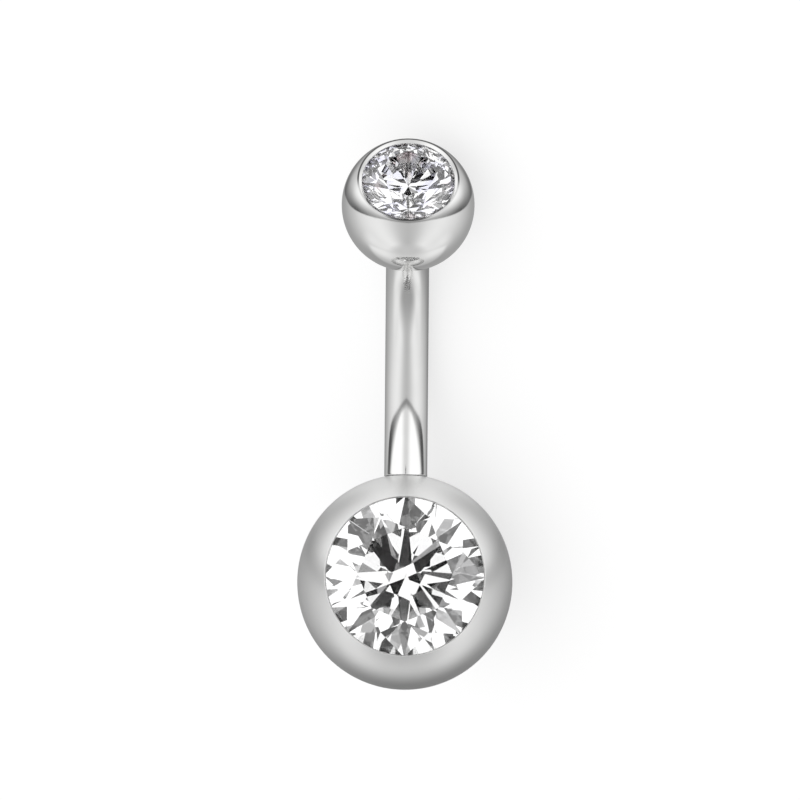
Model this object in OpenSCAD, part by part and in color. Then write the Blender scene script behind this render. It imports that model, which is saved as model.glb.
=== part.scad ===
/* [Bar] */
// Diameter of the curved bar
bar_d = 1.6; // [1.4:0.1:2]
// Length of the bar along its curve, from one ball to the other
bar_length = 10; // [6:0.5:14]
// Angle that the bar turns through from one end to the other
bar_bend = 60; // [30:1:75]
// Diameter of the plain stud on each end of the bar
stud_d = 1.2; // [0.8:0.1:1.3]
// Length of the stud inside the large ball
large_stud_length = 1.9; // [1:0.1:2.4]
// Length of the stud inside the small ball
small_stud_length = 1.6; // [1:0.1:1.8]
// Bevel on the tip of each stud
stud_bevel = 0.15; // [0.05:0.05:0.3]

/* [Large ball] */
// Diameter of the large ball
large_ball_d = 8; // [7.6:0.1:10]
// Diameter of its stone across the girdle
large_stone_d = 6; // [4:0.1:6.2]
// How far its metal edge reaches over the stone
large_lip = 0.07; // [0.03:0.01:0.15]
// Width of the bevelled rim round its stone
large_rim_w = 0.05; // [0.02:0.01:0.2]
// Depth of that bevel
large_rim_drop = 0.04; // [0.02:0.01:0.1]
// Height of the straight wall between the bevel and the stone
large_rim_wall = 0.08; // [0.03:0.01:0.2]

/* [Small ball] */
// Diameter of the small ball, which screws off
small_ball_d = 4.9; // [4.6:0.1:6]
// Diameter of its stone across the girdle
small_stone_d = 3.5; // [2:0.1:3.7]
// How far its metal edge reaches over the stone
small_lip = 0.05; // [0.03:0.01:0.12]
// Width of the bevelled rim round its stone
small_rim_w = 0.15; // [0.02:0.01:0.2]
// Depth of that bevel
small_rim_drop = 0.08; // [0.02:0.01:0.12]
// Height of the straight wall between the bevel and the stone
small_rim_wall = 0.05; // [0.03:0.01:0.15]

/* [Cut of the stones] */
// Radius of the table's corners, as a share of the stone's radius
table_share = 0.585; // [0.5:0.005:0.65]
// Height of the crown, as a share of the stone's diameter
crown_share = 0.16; // [0.1:0.005:0.18]
// Thickness of the girdle, as a share of the stone's diameter
girdle_share = 0.025; // [0.01:0.005:0.04]
// Depth of the pavilion, as a share of the stone's diameter
pavilion_share = 0.43; // [0.4:0.005:0.45]
// How far the star facets reach from the table to the girdle
star_share = 0.5; // [0.4:0.05:0.65]
// How far the lower girdle facets reach from the girdle to the point
lower_half_share = 0.78; // [0.7:0.01:0.85]

/* [Fits] */
// Gap between a stone and its seat, and between a ball and the bar's shoulder
seat_gap = 0.02; // [0.01:0.01:0.04]
// Gap all round a stud in its hole
stud_gap = 0.03; // [0.01:0.01:0.06]
// Depth left free at the bottom of each stud's hole
hole_relief = 0.1; // [0.05:0.05:0.2]
// Radius of the drilled hole that clears each stone's point
point_hole_r = 0.3; // [0.2:0.05:0.4]
// Depth of that hole below the stone's point
point_hole_depth = 0.08; // [0.05:0.01:0.15]

/* [Hidden] */
steel_colour = "silver";
stone_colour = "lightcyan";
round_sides = 96;
// Eight facets of each kind go round a brilliant cut
fold_count = 8;
fold_angle = 360 / fold_count;
half_fold = fold_angle / 2;
// A stud starts this far inside the bar, so that the two are one piece of steel
stud_root = 0.3;

bar_r = bar_d / 2;
stud_r = stud_d / 2;
bend_r = bar_length * 180 / (PI * bar_bend);
large_r = large_ball_d / 2;
small_r = small_ball_d / 2;

large_stone_r = large_stone_d / 2;
small_stone_r = small_stone_d / 2;
large_open_r = large_stone_r - large_lip;
small_open_r = small_stone_r - small_lip;
large_rim_r = large_open_r + large_rim_w;
small_rim_r = small_open_r + small_rim_w;
// The rim lies where a circle of its radius fits on the ball
function rim_z(ball_r, rim_r) = sqrt(pow(ball_r, 2) - pow(rim_r, 2));
large_lip_z = rim_z(large_r, large_rim_r) - large_rim_drop - large_rim_wall;
small_lip_z = rim_z(small_r, small_rim_r) - small_rim_drop - small_rim_wall;

// A ball is ground flat where the bar's shoulder meets it
function flat_z(ball_r) = sqrt(pow(ball_r, 2) - pow(bar_r, 2));
shoulder_large = flat_z(large_r) + seat_gap;
shoulder_small = flat_z(small_r) + seat_gap;

// The centres of the bend and of the small ball, seen from the large ball's centre:
// first along the bar's lower end, then towards the side that the large stone faces
bend_centre = [shoulder_large, bend_r];
bar_end = bend_centre + bend_r * [sin(bar_bend), -cos(bar_bend)];
small_centre = bar_end + shoulder_small * [cos(bar_bend), sin(bar_bend)];
span = norm(small_centre);
span_angle = atan2(small_centre[1], small_centre[0]);

// Lying on a flat surface, the two balls and the belly of the bar touch it.
// The line through the balls' centres dips to the smaller ball, and the bar leans
// sideways round that line until its belly comes down to the surface.
dip = asin((large_r - small_r) / span);
bend_along = bend_centre * [cos(span_angle), sin(span_angle)];
bend_off = bend_centre * [-sin(span_angle), cos(span_angle)];
level = large_r - bar_r - bend_along * sin(dip);
swing = bend_off * cos(dip);
quad_a = pow(bend_r * cos(dip), 2) - pow(swing, 2);
quad_b = level * swing;
quad_c = pow(bend_r * sin(dip), 2) - pow(level, 2);
lean_cos = (quad_b + sqrt(pow(quad_b, 2) - quad_a * quad_c)) / quad_a;
lean = acos(min(1, lean_cos));

// How squarely the small ball's stone faces the end of the whole piece
stone_off_line = bar_bend - span_angle;
end_facing = cos(stone_off_line) * cos(dip) + sin(stone_off_line) * cos(lean) * sin(dip);
small_reach = end_facing * small_r > rim_z(small_r, small_rim_r)
    ? end_facing * rim_z(small_r, small_rim_r) + small_rim_r * sqrt(1 - pow(end_facing, 2))
    : small_r;
large_y = (span * cos(dip) + small_reach - large_r) / 2;

// Brilliant cut: heights are measured from the top of the girdle
function table_r(stone_r) = stone_r * table_share;
function crown_h(stone_r) = 2 * stone_r * crown_share;
function girdle_h(stone_r) = 2 * stone_r * girdle_share;
function pavilion_h(stone_r) = 2 * stone_r * pavilion_share;
function table_mid(stone_r) = table_r(stone_r) * cos(half_fold);
function star_r(stone_r) = table_mid(stone_r) + star_share * (stone_r - table_mid(stone_r));
function star_z(stone_r) = crown_h(stone_r)
    * (stone_r - star_r(stone_r) * cos(half_fold)) / (stone_r - table_r(stone_r));
function half_r(stone_r) = stone_r * (1 - lower_half_share);
function half_z(stone_r) = -girdle_h(stone_r)
    - pavilion_h(stone_r) * (1 - half_r(stone_r) * cos(half_fold) / stone_r);
function point_z(stone_r) = -girdle_h(stone_r) - pavilion_h(stone_r);
// The crown has risen this much where the metal lip ends
function lip_rise(stone_r, lip) = lip * star_z(stone_r) / (stone_r - star_r(stone_r));
large_girdle_z = large_lip_z - seat_gap - lip_rise(large_stone_r, large_lip);
small_girdle_z = small_lip_z - seat_gap - lip_rise(small_stone_r, small_lip);

function ring_points(count, start, r, z) =
    [for (i = [0:count - 1]) [r * cos(start + i * 360 / count), r * sin(start + i * 360 / count), z]];

// One brilliant-cut stone, its girdle's top at zero and its table facing up
module brilliant(stone_r) {
    corners = 2 * fold_count;
    star = fold_count;
    top = 2 * fold_count;
    low = top + corners;
    half = low + corners;
    tip = half + fold_count;
    points = concat(
        ring_points(fold_count, 0, table_r(stone_r), crown_h(stone_r)),
        ring_points(fold_count, half_fold, star_r(stone_r), star_z(stone_r)),
        ring_points(corners, 0, stone_r, 0),
        ring_points(corners, 0, stone_r, -girdle_h(stone_r)),
        ring_points(fold_count, half_fold, half_r(stone_r), half_z(stone_r)),
        [[0, 0, point_z(stone_r)]]
    );
    table = [[for (i = [fold_count - 1:-1:0]) i]];
    folds = [for (i = [0:fold_count - 1]) let (
        next = (i + 1) % fold_count,
        back = (i + fold_count - 1) % fold_count,
        main = 2 * i,
        mid = main + 1,
        far = (main + 2) % corners
    ) each [
        [i, next, star + i],
        [i, star + i, top + main, star + back],
        [star + i, top + mid, top + main],
        [star + i, top + far, top + mid],
        [half + i, low + main, low + mid],
        [half + i, low + mid, low + far],
        [tip, half + back, low + main, half + i]
    ]];
    girdle = [for (j = [0:corners - 1]) let (k = (j + 1) % corners)
        [top + j, top + k, low + k, low + j]];
    polyhedron(points, concat(table, folds, girdle));
}

// The hollow that a stone sits in, with the opening and the bevelled rim above it
module stone_seat(ball_r, stone_r, open_r, rim_w, rim_drop, rim_wall, girdle_z) {
    lip_z = rim_z(ball_r, open_r + rim_w) - rim_drop - rim_wall;
    seat_r = stone_r + seat_gap;
    low_z = girdle_z - girdle_h(stone_r) - seat_gap;
    point_floor = girdle_z + point_z(stone_r) - point_hole_depth;
    // Steep enough to clear the tips of the lower girdle facets
    slope = -(half_z(stone_r) + girdle_h(stone_r)) / (stone_r - half_r(stone_r));
    rotate_extrude($fn = round_sides) polygon([
        [0, point_floor],
        [point_hole_r, point_floor],
        [point_hole_r, low_z - slope * (stone_r - point_hole_r)],
        [seat_r, low_z + slope * seat_gap],
        [seat_r, lip_z],
        [open_r, lip_z],
        [open_r, lip_z + rim_wall],
        [open_r + rim_w, lip_z + rim_wall + rim_drop],
        [open_r + rim_w, ball_r + rim_w],
        [0, ball_r + rim_w]
    ]);
}

// The ground flat and the hole for a stud, entering a ball from below
module stud_hole(ball_r, stud_length) {
    translate([0, 0, -ball_r - bar_d]) {
        cylinder(h = ball_r + bar_d - flat_z(ball_r), r = bar_d, $fn = round_sides);
        cylinder(h = ball_r + bar_d - flat_z(ball_r) - seat_gap + stud_length + hole_relief,
            r = stud_r + stud_gap, $fn = round_sides);
    }
}

module gem_ball(ball_r, stone_r, open_r, rim_w, rim_drop, rim_wall, girdle_z, stud_length, hole_turn) {
    difference() {
        sphere(r = ball_r, $fn = round_sides);
        stone_seat(ball_r, stone_r, open_r, rim_w, rim_drop, rim_wall, girdle_z);
        rotate([hole_turn, 0, 0]) stud_hole(ball_r, stud_length);
    }
}

// A plain bevelled stud that starts inside the bar and points up
module stud(stud_length) {
    translate([0, 0, -stud_root])
        cylinder(h = stud_root + stud_length - stud_bevel, r = stud_r, $fn = round_sides);
    translate([0, 0, stud_length - stud_bevel])
        cylinder(h = stud_bevel, r1 = stud_r, r2 = stud_r - stud_bevel, $fn = round_sides);
}

// Puts a piece of the small ball on the bar's far end, its stone facing away from the bar
module at_small_ball() {
    translate([0, -small_centre[0], small_centre[1]]) rotate([90 - bar_bend, 0, 0]) children();
}

// Lays the whole piece on the surface, centred over the origin
module at_rest() {
    translate([0, large_y, large_r])
        rotate(a = lean, v = [0, -cos(dip), -sin(dip)])
            rotate([span_angle + dip, 0, 0])
                children();
}

module curved_bar() {
    color(steel_colour) at_rest() {
        translate([0, -bend_centre[0], bend_centre[1]]) rotate([0, 90, 180])
            rotate_extrude(angle = bar_bend, $fn = round_sides)
                translate([bend_r, 0]) circle(r = bar_r, $fn = round_sides);
        translate([0, -shoulder_large, 0]) rotate([-90, 0, 0]) stud(large_stud_length);
        at_small_ball() translate([0, 0, -shoulder_small]) stud(small_stud_length);
    }
}

module large_ball() {
    color(steel_colour) at_rest()
        gem_ball(large_r, large_stone_r, large_open_r, large_rim_w, large_rim_drop, large_rim_wall,
            large_girdle_z, large_stud_length, -90);
}

module large_stone() {
    color(stone_colour) at_rest() translate([0, 0, large_girdle_z]) brilliant(large_stone_r);
}

module small_ball() {
    color(steel_colour) at_rest() at_small_ball()
        gem_ball(small_r, small_stone_r, small_open_r, small_rim_w, small_rim_drop, small_rim_wall,
            small_girdle_z, small_stud_length, 0);
}

module small_stone() {
    color(stone_colour) at_rest() at_small_ball() translate([0, 0, small_girdle_z])
        brilliant(small_stone_r);
}

curved_bar();
large_ball();
large_stone();
small_ball();
small_stone();
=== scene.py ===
from math import asin, cos, pi, radians, sin, sqrt

import bmesh
import bpy
from mathutils import Matrix, Vector


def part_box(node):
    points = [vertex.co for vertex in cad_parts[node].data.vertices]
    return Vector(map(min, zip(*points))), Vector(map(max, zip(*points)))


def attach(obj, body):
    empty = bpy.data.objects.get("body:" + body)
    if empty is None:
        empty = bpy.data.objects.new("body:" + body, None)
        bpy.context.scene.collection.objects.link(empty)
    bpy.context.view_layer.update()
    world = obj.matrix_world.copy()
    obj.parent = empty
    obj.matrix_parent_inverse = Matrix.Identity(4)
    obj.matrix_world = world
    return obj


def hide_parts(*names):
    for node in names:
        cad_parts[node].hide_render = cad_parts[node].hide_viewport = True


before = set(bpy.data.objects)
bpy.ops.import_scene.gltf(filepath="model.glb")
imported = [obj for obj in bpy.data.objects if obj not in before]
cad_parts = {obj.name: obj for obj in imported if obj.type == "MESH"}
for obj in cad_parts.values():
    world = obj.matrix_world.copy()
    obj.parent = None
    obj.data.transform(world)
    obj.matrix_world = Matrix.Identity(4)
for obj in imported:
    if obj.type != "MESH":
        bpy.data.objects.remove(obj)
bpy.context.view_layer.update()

mm = 0.001
sharpAngle = radians(20)        # edges that turn more than this stay crisp
scene = bpy.context.scene


def skin(name, stations, sides):
    # each station is a middle, the two ways across it and a radius; no radius closes the end
    points, rings, faces = [], [], []
    for middle, one, other, radius in stations:
        start = len(points)
        if radius == 0:
            points.append(middle)
        else:
            for step in range(sides):
                turn = 2 * pi * step / sides
                points.append(middle + radius * (cos(turn) * one + sin(turn) * other))
        rings.append(range(start, len(points)))
    for near, far in zip(rings, rings[1:]):
        for step in range(sides):
            after = (step + 1) % sides
            corners = (near[step % len(near)], near[after % len(near)],
                       far[after % len(far)], far[step % len(far)])
            faces.append(list(dict.fromkeys(corners)))      # two corners are one at a closed end
    mesh = bpy.data.meshes.new(name)
    mesh.from_pydata(points, [], faces)
    cleaned = bmesh.new()
    cleaned.from_mesh(mesh)
    bmesh.ops.recalc_face_normals(cleaned, faces=cleaned.faces)
    cleaned.to_mesh(mesh)
    cleaned.free()
    return mesh


def softened(outline, corners, reach, steps=10):
    # rounds the named corners of an outline, starting this far from each
    smooth = []
    for index, corner in enumerate(outline):
        if index not in corners:
            smooth.append(corner)
            continue
        start = corner + (outline[index - 1] - corner).normalized() * reach
        end = corner + (outline[index + 1] - corner).normalized() * reach
        for step in range(steps + 1):
            share = step / steps
            rest = 1 - share
            smooth.append(rest ** 2 * start + 2 * share * rest * corner + share ** 2 * end)
    return smooth


def smoothShade(mesh):
    mesh.polygons.foreach_set("use_smooth", [True] * len(mesh.polygons))
    mesh.set_sharp_from_angle(angle=sharpAngle)


def standing(name, mesh):
    piece = bpy.data.objects.new(name, mesh)
    scene.collection.objects.link(piece)
    return piece


# where the stones and balls are, from the solids' own corners
def stoneOf(node, roughWay):
    # a stone's own corners give its axis, and its heights above its point
    offAxis, atGirdle = 0.05, 0.99      # shares of its radius that tell its corners apart
    points = {tuple(vertex.co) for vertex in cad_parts[node].data.vertices}
    points = [Vector(point) for point in points]
    middle = sum(points, Vector()) / len(points)
    tip = min(points, key=lambda point: (point - middle).dot(roughWay))
    way = (middle - tip).normalized()
    heights = [((point - tip).dot(way), (point - tip).cross(way).length) for point in points]
    radius = max(across for height, across in heights)
    girdle = [height for height, across in heights if across > atGirdle * radius]
    lower = min(pair for pair in heights if pair[1] > offAxis * radius)
    return {"tip": tip, "way": way, "radius": radius, "girdleLow": min(girdle), "lower": lower,
            "table": tip + max(heights)[0] * way}


def ballOf(plan):
    # each ball stands on the floor, so its centre is where its stone's axis is one radius up
    low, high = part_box(plan["ball"])
    stoneLow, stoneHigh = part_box(plan["stone"])
    stone = stoneOf(plan["stone"], (stoneLow + stoneHigh) - (low + high))
    centre = stone["tip"] + (plan["radius"] - stone["tip"].z) / stone["way"].z * stone["way"]
    return centre, stone


fits = {
    "seatGap": 0.02 * mm,       # between stone and seat, and between ball and bar
    "studGap": 0.03 * mm,       # between a stud and its hole, all round
    "studRelief": 0.1 * mm,     # left free at the bottom of a stud's hole
    "pointHole": 0.3 * mm,      # radius of the hole that clears a stone's point
    "pointHoleDepth": 0.08 * mm,
}
barPlan = {
    "radius": 0.8 * mm,
    "length": 10 * mm,          # along the curve, from ball to ball
    "bend": radians(60),
    "studRadius": 0.6 * mm,
    "studBevel": 0.15 * mm,
    "largeStud": 1.9 * mm,
    "smallStud": 1.6 * mm,
    "shoulderRound": 0.04 * mm,
    "rings": 100,
    "sides": 128,
}
largePlan = {
    "ball": "large_ball",
    "stone": "large_stone",
    "radius": 4 * mm,
    "opening": 2.93 * mm,       # radius of the hole that the stone looks out of
    "rimWidth": 0.05 * mm,
    "rimDrop": 0.04 * mm,
    "rimWall": 0.08 * mm,
    "rimRound": 0.015 * mm,
    "rings": 150,
    "sides": 288,
}
smallPlan = {
    "ball": "small_ball",
    "stone": "small_stone",
    "radius": 2.45 * mm,
    "opening": 1.7 * mm,
    "rimWidth": 0.15 * mm,
    "rimDrop": 0.08 * mm,
    "rimWall": 0.05 * mm,
    "rimRound": 0.02 * mm,
    "rings": 120,
    "sides": 256,
}

largeCentre, largeStone = ballOf(largePlan)
smallCentre, smallStone = ballOf(smallPlan)
stoneWay = largeStone["way"]
alongBar = (smallStone["way"] - smallStone["way"].dot(stoneWay) * stoneWay).normalized()
sideWay = stoneWay.cross(alongBar)


def flatHeight(plan):
    # how far from a ball's centre the bar's shoulder meets the ball
    return sqrt(plan["radius"] ** 2 - barPlan["radius"] ** 2)


# the curved bar
def barPlace(distance):
    # middle of the bar, and the way to the inside of its bend, at a distance along its curve
    bendRadius = barPlan["length"] / barPlan["bend"]
    turn = min(max(distance / bendRadius, 0), barPlan["bend"])
    straight = distance - turn * bendRadius
    start = largeCentre + (flatHeight(largePlan) + fits["seatGap"]) * alongBar
    way = cos(turn) * alongBar + sin(turn) * stoneWay
    inner = cos(turn) * stoneWay - sin(turn) * alongBar
    middle = start + bendRadius * (sin(turn) * alongBar + (1 - cos(turn)) * stoneWay)
    return middle + straight * way, inner


def makeBar():
    thick, thin, bevel = barPlan["radius"], barPlan["studRadius"], barPlan["studBevel"]
    end, ringGap = barPlan["length"], barPlan["length"] / barPlan["rings"]
    outline = [
        Vector((-barPlan["largeStud"], 0)),
        Vector((-barPlan["largeStud"], thin - bevel)),
        Vector((bevel - barPlan["largeStud"], thin)),
        Vector((0, thin)),
        Vector((0, thick)),
    ]
    outline += [Vector((step * ringGap, thick)) for step in range(1, barPlan["rings"])]
    outline += [
        Vector((end, thick)),
        Vector((end, thin)),
        Vector((end + barPlan["smallStud"] - bevel, thin)),
        Vector((end + barPlan["smallStud"], thin - bevel)),
        Vector((end + barPlan["smallStud"], 0)),
    ]
    shoulders = (4, len(outline) - 5)
    stations = []
    for distance, radius in softened(outline, shoulders, barPlan["shoulderRound"]):
        middle, inner = barPlace(distance)
        stations.append((middle, inner, sideWay, radius))
    mesh = skin("curvedBar", stations, barPlan["sides"])
    smoothShade(mesh)
    return standing("curvedBar", mesh)


# the two balls
rimCorners = (6, 7)             # the rim's two edges, among the corners of the seat's outline


def seatOutline(plan, stone, centre):
    # radius and height above the ball's centre, from the middle of the seat out over the rim
    up = (stone["tip"] - centre).dot(stone["way"])
    gap, wide = fits["seatGap"], stone["radius"]
    lowerHeight, lowerRadius = stone["lower"]
    low = up + stone["girdleLow"] - gap
    slope = (stone["girdleLow"] - lowerHeight) / (wide - lowerRadius)
    rim = plan["opening"] + plan["rimWidth"]
    rimTop = sqrt(plan["radius"] ** 2 - rim ** 2)
    lip = rimTop - plan["rimDrop"] - plan["rimWall"]
    floor = up - fits["pointHoleDepth"]
    outline = [
        (0, floor),
        (fits["pointHole"], floor),
        (fits["pointHole"], low - slope * (wide - fits["pointHole"])),
        (wide + gap, low + slope * gap),
        (wide + gap, lip),
        (plan["opening"], lip),
        (plan["opening"], lip + plan["rimWall"]),
        (rim, rimTop),
    ]
    return [Vector(point) for point in outline]


def shellOutline(plan, last):
    # the outside of the ball, from its rim down to the angle where it ends
    first = asin((plan["opening"] + plan["rimWidth"]) / plan["radius"])
    steps = plan["rings"]
    turns = [first + (last - first) * step / steps for step in range(1, steps + 1)]
    return [Vector((plan["radius"] * sin(turn), plan["radius"] * cos(turn))) for turn in turns]


def studHole(flat, stud):
    # the hole's radius, and how far from the ball's centre it ends
    end = flat + fits["seatGap"] - stud - fits["studRelief"]
    return barPlan["studRadius"] + fits["studGap"], end


def turned(name, outline, centre, way, sides):
    # a lathe round the given way; the side way keeps every piece lined up with the bar
    other = way.cross(sideWay)
    stations = [(centre + height * way, sideWay, other, max(radius, 0))
                for radius, height in outline]
    return skin(name, stations, sides)


def roundNormals(mesh, centre, radius):
    # the outside is a true ball, so its shading comes from the ball and not from its facets
    onBall = 1e-4 * mm
    smoothShade(mesh)
    normals = [Vector(corner.vector) for corner in mesh.corner_normals]
    for face in mesh.polygons:
        spokes = [mesh.vertices[index].co - centre for index in face.vertices]
        if all(abs(spoke.length - radius) < onBall for spoke in spokes):
            for loop, spoke in zip(face.loop_indices, spokes):
                normals[loop] = spoke.normalized()
    mesh.normals_split_custom_set(normals)


def makeLargeBall():
    outline = seatOutline(largePlan, largeStone, largeCentre) + shellOutline(largePlan, pi)
    outline[-1] = Vector((0, -largePlan["radius"]))         # closes the ball opposite its stone
    outline = softened(outline, rimCorners, largePlan["rimRound"])
    mesh = turned("largeBall", outline, largeCentre, stoneWay, largePlan["sides"])
    # the stud's hole runs across the lathe's axis, so it is drilled
    flat = flatHeight(largePlan)
    hole, holeEnd = studHole(flat, barPlan["largeStud"])
    outside, beyond = 2 * barPlan["radius"], largePlan["radius"] + barPlan["radius"]
    drill = [Vector(point) for point in (
        (0, holeEnd), (hole, holeEnd), (hole, flat),
        (outside, flat), (outside, beyond), (0, beyond))]
    piece = standing("largeBall", mesh)
    cutter = standing("drill", turned("drill", drill, largeCentre, alongBar, barPlan["sides"]))
    cut = piece.modifiers.new("drill", "BOOLEAN")
    cut.operation, cut.solver, cut.object = "DIFFERENCE", "EXACT", cutter
    graph = bpy.context.evaluated_depsgraph_get()
    piece.data = bpy.data.meshes.new_from_object(piece.evaluated_get(graph))
    piece.modifiers.clear()
    bpy.data.objects.remove(cutter)
    roundNormals(piece.data, largeCentre, largePlan["radius"])
    return piece


def makeSmallBall():
    flat = flatHeight(smallPlan)
    hole, holeEnd = studHole(flat, barPlan["smallStud"])
    outline = seatOutline(smallPlan, smallStone, smallCentre)
    outline += shellOutline(smallPlan, pi - asin(barPlan["radius"] / smallPlan["radius"]))
    outline += [Vector((hole, -flat)), Vector((hole, -holeEnd)), Vector((0, -holeEnd))]
    outline = softened(outline, rimCorners, smallPlan["rimRound"])
    mesh = turned("smallBall", outline, smallCentre, smallStone["way"], smallPlan["sides"])
    roundNormals(mesh, smallCentre, smallPlan["radius"])
    return standing("smallBall", mesh)


class Wire:
    # a socket that plain maths can be done with
    def __init__(self, tree, socket):
        self.tree, self.socket = tree, socket

    def maths(self, operation, *others):
        inputs = dict(enumerate((self, *others)))
        return addNode(self.tree, "ShaderNodeMath", {"operation": operation}, inputs)

    def __add__(self, other):
        return self.maths("ADD", other)

    __radd__ = __add__

    def __sub__(self, other):
        return self.maths("SUBTRACT", other)

    def __rsub__(self, other):
        return (self * -1) + other

    def __mul__(self, other):
        return self.maths("MULTIPLY", other)

    __rmul__ = __mul__

    def __truediv__(self, other):
        return self.maths("DIVIDE", other)

    def ramp(self, start, end):
        # 0 before start, 1 after end and a soft rise between them
        settings = {"interpolation_type": "SMOOTHSTEP"}
        inputs = {"Value": self, "From Min": start, "From Max": end}
        return addNode(self.tree, "ShaderNodeMapRange", settings, inputs)


def addNode(tree, kind, settings=None, inputs=None, output=0):
    node = tree.nodes.new(kind)
    for name, value in (settings or {}).items():
        if name == "stops":
            for spare in range(len(value) - 2):
                node.color_ramp.elements.new(0.5)
            for element, (place, shade) in zip(node.color_ramp.elements, value):
                element.position, element.color = place, (shade, shade, shade, 1)
        elif name == "ease":
            node.color_ramp.interpolation = value
        else:
            setattr(node, name, value)
    for name, value in (inputs or {}).items():
        if isinstance(value, Wire):
            tree.links.new(value.socket, node.inputs[name])
        else:
            node.inputs[name].default_value = value
    return Wire(tree, node.outputs[output]) if node.outputs else None


def vectorMaths(tree, operation, *vectors, output=0):
    inputs = dict(enumerate(vectors))
    return addNode(tree, "ShaderNodeVectorMath", {"operation": operation}, inputs, output)


def onto(tree, place, way):
    # how far along a way a place is
    return vectorMaths(tree, "DOT_PRODUCT", place, way, output="Value")


def fromAxis(tree, place, stone):
    # how far a place is from a stone's axis
    spoke = vectorMaths(tree, "SUBTRACT", place, stone["tip"])
    spoke = vectorMaths(tree, "CROSS_PRODUCT", spoke, stone["way"])
    return vectorMaths(tree, "LENGTH", spoke, output="Value")


def between(pair, factor):
    # the first number where the factor is 0, the second where it is 1
    one, other = pair
    return one + (other - one) * factor


def blended(tree, factor, one, other):
    # one colour where the factor is 0, the other where it is 1
    inputs = {"Factor": factor, 6: one, 7: other}
    return addNode(tree, "ShaderNodeMix", {"data_type": "RGBA"}, inputs, output=2)


def shades(tree, place, stops, ease="B_SPLINE"):
    return addNode(tree, "ShaderNodeValToRGB", {"ease": ease, "stops": stops}, {"Fac": place})


def newMaterial(name):
    material = bpy.data.materials.new(name)
    material.use_nodes = True
    material.node_tree.nodes.clear()
    return material, material.node_tree


def addSurface(tree, inputs, clear=False):
    # plain values are the same all over, wires vary; a clear one also lets all light through
    shader = addNode(tree, "ShaderNodeBsdfPrincipled", inputs=inputs)
    if clear:
        through = addNode(tree, "ShaderNodeBsdfTransparent")
        shader = addNode(tree, "ShaderNodeAddShader", inputs={0: through, 1: shader})
    addNode(tree, "ShaderNodeOutputMaterial", inputs={"Surface": shader})


# steel: mirror polished on the bar and the small ball, satin on the large ball
barFinish = {
    "colour": (0.78, 0.78, 0.775, 1),
    "worn": (0.755, 0.755, 0.75, 1),
    "wornFrom": (0.35, 0.75),   # where in the patches the worn colour starts and is full
    "roughness": 0.07,
    "polish": 0.02,             # how much the roughness wanders
    "polishSize": 900,          # patches to the metre
    "lineGap": 0.05 * mm,       # fine lines left by the polishing wheel
    "lineWander": 2,
    "lineHeight": 0.002 * mm,
    "lineDepth": 0.05,
}
largeBallFinish = {
    **barFinish,
    "roughness": 0.36,
    "polish": 0.04,
    "lineGap": 0.09 * mm,
    "lineDepth": 0.25,
}
smallBallFinish = {**barFinish, "lineGap": 0.06 * mm}
# painted shade: a dark line round the small ball's rim, darkest at its top
rimPaintedShade = {
    "colour": (0.1, 0.1, 0.1, 1),
    "width": 0.045 * mm,        # each way from the corner of the small ball's rim
    "soft": 0.5,                # share of the width where its edge starts
    "fade": 0.8,                # how far it fades at its lower sides
    "fadeTop": (-0.25, 0.05),   # where that ends above and below, in radii of the rim
    "fadeBottom": (-0.98, -0.85),
}


def rimPaintedShadeMask(tree, place, way, rim):
    # a fine dark line of painted shade round the rim, only on the stone's side of the ball and
    # fading at its lower sides
    off = (fromAxis(tree, place, rim["stone"]) - rim["radius"]).maths("ABSOLUTE")
    side = onto(tree, place, way) - rim["centre"].dot(way)
    paintedShadeLine = 1 - (off / rimPaintedShade["width"]).ramp(rimPaintedShade["soft"], 1)
    paintedShadeLine = paintedShadeLine * (side / rim["radius"]).ramp(0, 0.1)
    upFace = sideWay.cross(way)
    height = (onto(tree, place, upFace) - rim["centre"].dot(upFace)) / rim["radius"]
    fade = rimPaintedShade["fade"] * (1 - height.ramp(*rimPaintedShade["fadeTop"]))
    return paintedShadeLine * (1 - fade * height.ramp(*rimPaintedShade["fadeBottom"]))


def makeSteel(name, plan, way, rim=None):
    material, tree = newMaterial(name)
    place = addNode(tree, "ShaderNodeTexCoord", output="Object")
    patches = addNode(tree, "ShaderNodeTexNoise", inputs={
        "Vector": place, "Scale": plan["polishSize"], "Detail": 3})
    wheel = onto(tree, place, way) / plan["lineGap"] + plan["lineWander"] * patches
    lines = addNode(tree, "ShaderNodeTexNoise", {"noise_dimensions": "1D"}, {
        "W": wheel, "Scale": 1, "Detail": 2})
    bump = addNode(tree, "ShaderNodeBump", inputs={
        "Height": lines, "Strength": plan["lineDepth"], "Distance": plan["lineHeight"]})
    colour = blended(tree, patches.ramp(*plan["wornFrom"]), plan["colour"], plan["worn"])
    if rim:
        # painted shade round the small ball's rim
        paintedShadeLine = rimPaintedShadeMask(tree, place, way, rim)
        colour = blended(tree, paintedShadeLine, colour, rimPaintedShade["colour"])
    addSurface(tree, {
        "Metallic": 1,
        "Base Color": colour,
        "Roughness": plan["roughness"] + (patches + lines - 1) * plan["polish"],
        "Normal": bump,
    })
    return material


# clear cut stones
largeStonePlan = {
    "clear": (1, 1, 1, 1),
    "cool": (0.9, 0.9, 1, 1),   # faint colours painted in the facets for the stone's fire, the coloured light that it splits
    "warm": (1, 0.93, 0.94, 1),
    "paintedFire": 0.1,
    "fireSize": 700,            # coloured patches to the metre
    "coolFrom": (0.58, 0.66),   # where in the patches each colour starts and ends
    "warmTo": (0.31, 0.37),
    "ior": 2.16,
    "frost": 0.4,               # the girdle is ground, not polished
    "girdle": (0.982, 0.988),   # where it starts, in radii of the stone
}
smallStonePlan = {
    **largeStonePlan,
    "cool": (0.8, 0.8, 0.96, 1),
    "warm": (1, 0.86, 0.88, 1),
    "paintedFire": 1,
    "fireSize": 1100,
}


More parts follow.
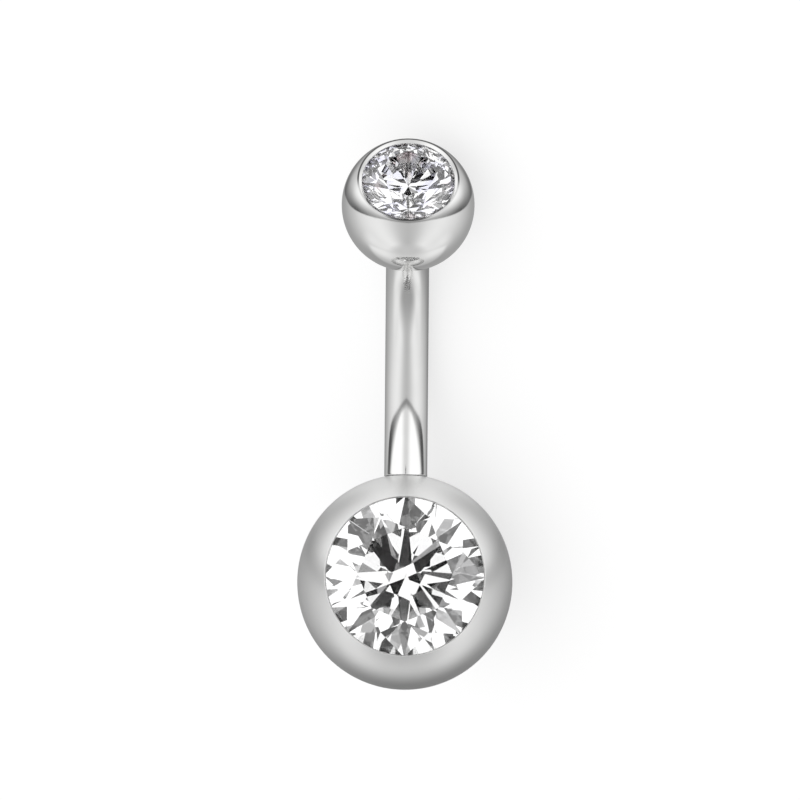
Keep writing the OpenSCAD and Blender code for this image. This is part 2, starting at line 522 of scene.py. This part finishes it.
def makeStone(name, stone, plan):
    material, tree = newMaterial(name)
    place = addNode(tree, "ShaderNodeTexCoord", output="Object")
    # painted light: coloured patches in place of the stone's fire
    paintedFire = addNode(tree, "ShaderNodeTexNoise", inputs={
        "Vector": place, "Scale": plan["fireSize"], "Detail": 1})
    cool = paintedFire.ramp(*plan["coolFrom"]) * plan["paintedFire"]
    warm = (1 - paintedFire.ramp(*plan["warmTo"])) * plan["paintedFire"]
    colour = blended(tree, cool, plan["clear"], plan["cool"])
    girdle = (fromAxis(tree, place, stone) / stone["radius"]).ramp(*plan["girdle"])
    addSurface(tree, {
        "IOR": plan["ior"],
        "Transmission Weight": 1,
        "Base Color": blended(tree, warm, colour, plan["warm"]),
        "Roughness": girdle * plan["frost"],
    })
    return material


cameraPlan = {
    "lens": 800,
    "sensor": 36,
    "tilt": radians(5.5),       # between the large stone's axis and the camera's way
    "roll": radians(0.5),
    "picture": 800,
    "pixelsPerMm": 26.9,
    "largeBallAt": (404.8, 582.2),
}
# the camera's ways: back towards it, and right and up in its picture
backWay = cos(cameraPlan["tilt"]) * stoneWay - sin(cameraPlan["tilt"]) * alongBar
levelUp = cos(cameraPlan["tilt"]) * alongBar + sin(cameraPlan["tilt"]) * stoneWay
rightWay = cos(cameraPlan["roll"]) * -sideWay + sin(cameraPlan["roll"]) * levelUp
upWay = backWay.cross(rightWay)


def makeCamera(plan):
    # framed so that the large ball's centre lands where the picture has it
    halfPicture = plan["picture"] / 2
    offRight = (plan["largeBallAt"][0] - halfPicture) / plan["pixelsPerMm"] * mm
    offUp = (halfPicture - plan["largeBallAt"][1]) / plan["pixelsPerMm"] * mm
    distance = plan["picture"] / plan["pixelsPerMm"] * mm * plan["lens"] / plan["sensor"]
    camera = bpy.data.objects.new("camera", bpy.data.cameras.new("camera"))
    camera.data.lens, camera.data.sensor_width = plan["lens"], plan["sensor"]
    scene.collection.objects.link(camera)
    place = largeCentre - offRight * rightWay - offUp * upWay + distance * backWay
    turn = Matrix((rightWay, upWay, backWay)).transposed().to_4x4()
    camera.matrix_world = Matrix.Translation(place) @ turn
    scene.camera = camera


# three unseen tents round the piece: a grey half below, a bright half above and a dark seam
# between them for the metal to mirror, and panes for the stones to look out at
tentMiddle = barPlace(0.2 * barPlan["length"])[0]           # a fifth along the bar
tentPlan = {
    "radius": 92 * mm,
    "segments": 64,
    "strength": 1.4,
    # the grey half: soft lamps by the turn away from the camera, and an even light from below
    "lamps": ((0, 0.43), (0.1, 0.48), (0.2, 0.66), (0.32, 0.79),
              (0.5, 0.64), (0.66, 0.42), (0.8, 0.29), (1, 0.27)),
    "under": ((0, 0.45), (0.32, 0.44), (0.39, 0.34), (0.46, 0.28), (0.5, 0.37),
              (0.54, 0.57), (0.58, 0.61), (0.61, 0.5), (0.66, 0.36), (0.7, 0.25),
              (0.77, 0.17), (0.9, 0.13), (1, 0.18)),
    "below": (-0.97, -0.75),    # how far up the light from below reaches
    "belowBack": 0.3,           # and how much further behind
    "flankLift": 0.27,          # how much lighter its low flanks are
    # the bright half, from straight in front to straight behind
    "soft": ((0, 0.95), (0.4, 0.95), (0.55, 0.82), (0.7, 0.62), (0.85, 0.58), (1, 0.6)),
    "middleDim": 0.34,          # how much it fades in its middle and at its top, in front
    "topDim": 0.38,
    "flankDim": 0.48,           # how much it fades at the sides behind
    "dusk": 0,                  # and straight behind
    "starts": (-0.04, -0.04),   # the heights where it starts and is full, behind and in front
    "full": (0.12, 0.03),
    # the dark seam
    "seamTilt": radians(19.1),  # its plane against the camera's way
    "peakDip": 0.05,            # how far it dips in the middle
    "peakWidth": 0.65,
    "backDip": 0.2,             # how steeply it dips behind, and from where
    "backFrom": -0.4,
    "edge": -0.125,             # its lower edge at the sides
    "edgeFront": 0.06,          # and the lift of that in front and behind
    "edgeBack": 0.04,
    "seamSoft": 0.015,
    "seamDark": 0.9,
    "seamPale": 0.42,           # how much of its darkness it loses in front
    "seamBack": 0.65,           # how much it keeps behind
    "seamEnd": (-0.95, -0.8),   # and where it fades out
    # a dark corner low behind, by right, up and towards the camera
    "cornerWay": (0.14, -0.45, -0.88),
    "cornerSize": (0.66, 0.98),
    "cornerDark": 0.45,
    # dark cards that the stones' tables mirror
    "cards": ((largeStone, radians(1.4)), (smallStone, radians(1.1))),
    "cardSoft": 1.3,            # how far their soft edges reach, in their own sizes
}
# the small ball has a tent of its own, with a thinner seam and a darker back
ballTentPlan = {
    **tentPlan,
    "radius": 91 * mm,
    "under": ((0, 0.45), (0.5, 0.5), (0.56, 0.58), (0.63, 0.58), (0.7, 0.46),
              (0.77, 0.37), (0.86, 0.31), (1, 0.25)),
    "below": (-0.985, -0.88),
    "flankDim": 0.27,
    "dusk": 0.75,
    "starts": (-0.1, -0.04),
    "full": (0.28, 0.03),
    "edge": -0.075,
    "edgeFront": 0.01,
    "edgeBack": 0.065,
    "seamBack": 0.85,
    "seamEnd": (-1, -0.85),
    "cornerDark": 0,
    "cards": (),
}
panePlan = {
    "radius": 90 * mm,
    "segments": 64,
    "strength": 1.35,
    "size": 6,                  # panes to the radius
    "shift": (0.2, 4, 3),
    "shades": ((0, 0.01), (0.2, 0.08), (0.32, 0.33), (0.46, 1)),
}


def cardWay(plan, stone):
    # where in the tent the camera looks by way of a stone's table
    mirrored = 2 * backWay.dot(stone["way"]) * stone["way"] - backWay
    start = stone["table"] - tentMiddle
    nearest = start.dot(mirrored)
    reach = sqrt(nearest ** 2 + plan["radius"] ** 2 - start.length_squared) - nearest
    return (start + reach * mirrored).normalized()


# where light comes from: wide, up and front are 1 straight to either side, up and towards the
# camera, and back is the turn away from the camera, 1 straight behind
def greyHalf(tree, plan, wide, up, front, back):
    lamps = shades(tree, wide.maths("ARCTAN2", front) / pi, plan["lamps"])
    under = shades(tree, back, plan["under"])
    behind = 1 - front.ramp(-0.4, 0)
    below = (up - plan["belowBack"] * behind).ramp(*plan["below"])
    low = lamps * below + under * (1 - below)
    flank = wide.ramp(0.1, 0.5) * (1 - up.ramp(-0.7, -0.4))
    flank = flank * front.ramp(-0.65, -0.3) * (1 - front.ramp(-0.2, 0.2))
    return low * (1 + plan["flankLift"] * flank)


def brightHalf(tree, plan, wide, up, front, back):
    high = shades(tree, back, plan["soft"])
    middle, flank, top = 1 - wide.ramp(0.05, 0.5), wide.ramp(0.25, 0.5), up.ramp(0.4, 0.75)
    high = high * (1 - plan["middleDim"] * middle * front.ramp(0.5, 0.8))
    high = high * (1 - plan["flankDim"] * flank * (1 - front.ramp(-0.65, -0.1)))
    high = high * (1 - plan["topDim"] * top * front.ramp(0.05, 0.4))
    return high * (1 - plan["dusk"] * (1 - front.ramp(-0.98, -0.6)))


def metalLight(tree, spoke, plan):
    across, up, front = (onto(tree, spoke, way) for way in (-sideWay, levelUp, backWay))
    wide, back = across.maths("ABSOLUTE"), front.maths("ARCCOSINE") / pi
    low = greyHalf(tree, plan, wide, up, front, back)
    high = brightHalf(tree, plan, wide, up, front, back)
    # the height above the seam's plane
    above = cos(plan["seamTilt"]) * up + sin(plan["seamTilt"]) * front
    peak = (1 - wide / plan["peakWidth"]).maths("MAXIMUM", 0) * front.ramp(0.3, 0.6)
    backDip = plan["backDip"] * (plan["backFrom"] - front).maths("MAXIMUM", 0)
    above = above + plan["peakDip"] * peak + backDip
    closer = front.ramp(0.4, 0.9)
    start, full = between(plan["starts"], closer), between(plan["full"], closer)
    half = ((above - start) / (full - start)).ramp(0, 1)
    # the seam widens towards the sides, and closes and pales behind
    edge = plan["edgeFront"] * front.ramp(-0.35, 0.65)
    edge = edge + plan["edgeBack"] * (1 - front.ramp(-0.75, -0.35)) + plan["edge"]
    seam = (above - edge).ramp(-plan["seamSoft"], plan["seamSoft"]) * (1 - half)
    seam = seam * between((plan["seamBack"], 1), front.ramp(-0.5, -0.1))
    seam = seam * front.ramp(*plan["seamEnd"])
    seam = seam * (1 - plan["seamPale"] * front.ramp(-0.2, 0.95))
    glow = (low * (1 - half) + high * half) * (1 - plan["seamDark"] * seam)
    right, lift, near = plan["cornerWay"]
    corner = (right * across + lift * up + near * front).ramp(*plan["cornerSize"])
    glow = glow * (1 - plan["cornerDark"] * corner)
    for stone, size in plan["cards"]:
        towards = onto(tree, spoke, cardWay(plan, stone))
        glow = glow * (1 - towards.ramp(cos(plan["cardSoft"] * size), cos(size)))
    return glow


def stoneLight(tree, spoke, plan):
    # light panes and dark gaps all round
    shifted = vectorMaths(tree, "ADD", spoke, plan["shift"])
    cells = addNode(tree, "ShaderNodeTexVoronoi", {"feature": "F1"}, {
        "Vector": shifted, "Scale": plan["size"]}, output="Color")
    tone = addNode(tree, "ShaderNodeSeparateColor", inputs={"Color": cells})
    return shades(tree, tone, plan["shades"], ease="CONSTANT")


def makeTent(name, plan, light, clear=False):
    mesh = bpy.data.meshes.new(name)
    shape = bmesh.new()
    bmesh.ops.create_uvsphere(shape, radius=plan["radius"],
                              u_segments=plan["segments"], v_segments=plan["segments"] // 2)
    shape.to_mesh(mesh)
    shape.free()
    tent = standing(name, mesh)
    tent.location = tentMiddle
    tent.visible_camera = tent.visible_diffuse = tent.visible_shadow = False
    material, tree = newMaterial(name)
    place = addNode(tree, "ShaderNodeNewGeometry", output="Position")
    spoke = vectorMaths(tree, "NORMALIZE", vectorMaths(tree, "SUBTRACT", place, tent.location))
    addSurface(tree, {
        "Base Color": (0, 0, 0, 1),
        "Specular IOR Level": 0,
        "Roughness": 1,
        "Emission Strength": plan["strength"],
        "Emission Color": light(tree, spoke, plan),
    }, clear)
    material.cycles.emission_sampling = "NONE"
    mesh.materials.append(material)
    return tent


def linkLight(tent, piece, state):
    # light linking: this piece alone mirrors the tent, or it alone doesn't
    receivers = bpy.data.collections.new(tent.name + "Receivers")
    receivers.objects.link(piece)
    receivers.collection_objects[0].light_linking.link_state = state
    tent.light_linking.receiver_collection = receivers


floorPlan = {
    "size": 3,                  # metres
    "colour": (0.3, 0.3, 0.3, 1),
    "roughness": 0.9,
    "shine": 0.1,
    "glow": 0.74,               # the sheet is lit from below, so that shadows stay faint
    "grain": 0.01,
    "grainSize": 60,            # patches to the metre
    "sky": 1,
}


def makeFloor(plan):
    half = plan["size"] / 2
    corners = [(-half, -half, 0), (half, -half, 0), (half, half, 0), (-half, half, 0)]
    mesh = bpy.data.meshes.new("floor")
    mesh.from_pydata(corners, [], [(0, 1, 2, 3)])
    floor = standing("floor", mesh)
    floor.visible_glossy = floor.visible_transmission = False
    material, tree = newMaterial("paleFloor")
    place = addNode(tree, "ShaderNodeTexCoord", output="Object")
    grain = addNode(tree, "ShaderNodeTexNoise", inputs={
        "Vector": place, "Scale": plan["grainSize"], "Detail": 4})
    darker = [channel * (1 - plan["grain"]) for channel in plan["colour"][:3]] + [1]
    addSurface(tree, {
        "Base Color": blended(tree, grain, plan["colour"], darker),
        "Roughness": plan["roughness"],
        "Specular IOR Level": plan["shine"],
        "Emission Color": (1, 1, 1, 1),
        "Emission Strength": plan["glow"],
    })
    mesh.materials.append(material)
    world = bpy.data.worlds.new("studio")
    world.use_nodes = True
    sky = world.node_tree.nodes["Background"]
    sky.inputs["Color"].default_value = (1, 1, 1, 1)
    sky.inputs["Strength"].default_value = plan["sky"]
    scene.world = world


makeCamera(cameraPlan)
lightTent = makeTent("lightTent", tentPlan, metalLight)
ballTent = makeTent("ballTent", ballTentPlan, metalLight, clear=True)
lightTent.visible_transmission = ballTent.visible_transmission = False
makeTent("paneTent", panePlan, stoneLight).visible_glossy = False
makeFloor(floorPlan)
scene.view_settings.view_transform = "Standard"
bounces = 24                    # enough for the light's way round inside a stone
scene.cycles.max_bounces = scene.cycles.transmission_bounces = bounces
scene.cycles.glossy_bounces = bounces
scene.cycles.caustics_reflective = scene.cycles.caustics_refractive = False
print("studio: camera, light tents and floor")

curvedBar = makeBar()
largeBall = makeLargeBall()
smallBall = makeSmallBall()
linkLight(lightTent, smallBall, "EXCLUDE")
linkLight(ballTent, smallBall, "INCLUDE")
barEnd = barPlace(barPlan["length"] + fits["seatGap"] + flatHeight(smallPlan))[0]
print(f"metal: bar and balls, {(barEnd - smallCentre).length / mm:.5f} mm from bar to ball line")

barSteel = makeSteel("barSteel", barFinish, stoneWay)
largeBallSteel = makeSteel("largeBallSteel", largeBallFinish, stoneWay)
smallBallSteel = makeSteel("smallBallSteel", smallBallFinish, smallStone["way"], rim={
    "stone": smallStone,
    "centre": smallCentre,
    "radius": smallPlan["opening"] + smallPlan["rimWidth"],
})
for piece, material, body, node, slot in (
        (curvedBar, barSteel, "barbell", "curved_bar", "bar_steel"),
        (largeBall, largeBallSteel, "barbell", "large_ball", "ball_steel"),
        (smallBall, smallBallSteel, "screw_ball", "small_ball", "ball_steel")):
    piece.data.materials.clear()
    piece.data.materials.append(material)
    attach(piece, body)
    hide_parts(node)

for plan, stone, stonePlan in (
        (largePlan, largeStone, largeStonePlan),
        (smallPlan, smallStone, smallStonePlan)):
    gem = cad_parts[plan["stone"]]
    gem.data.polygons.foreach_set("use_smooth", [False] * len(gem.data.polygons))
    gem.data.materials.clear()
    gem.data.materials.append(makeStone(plan["stone"], stone, stonePlan))
print("finish: steel and stones")
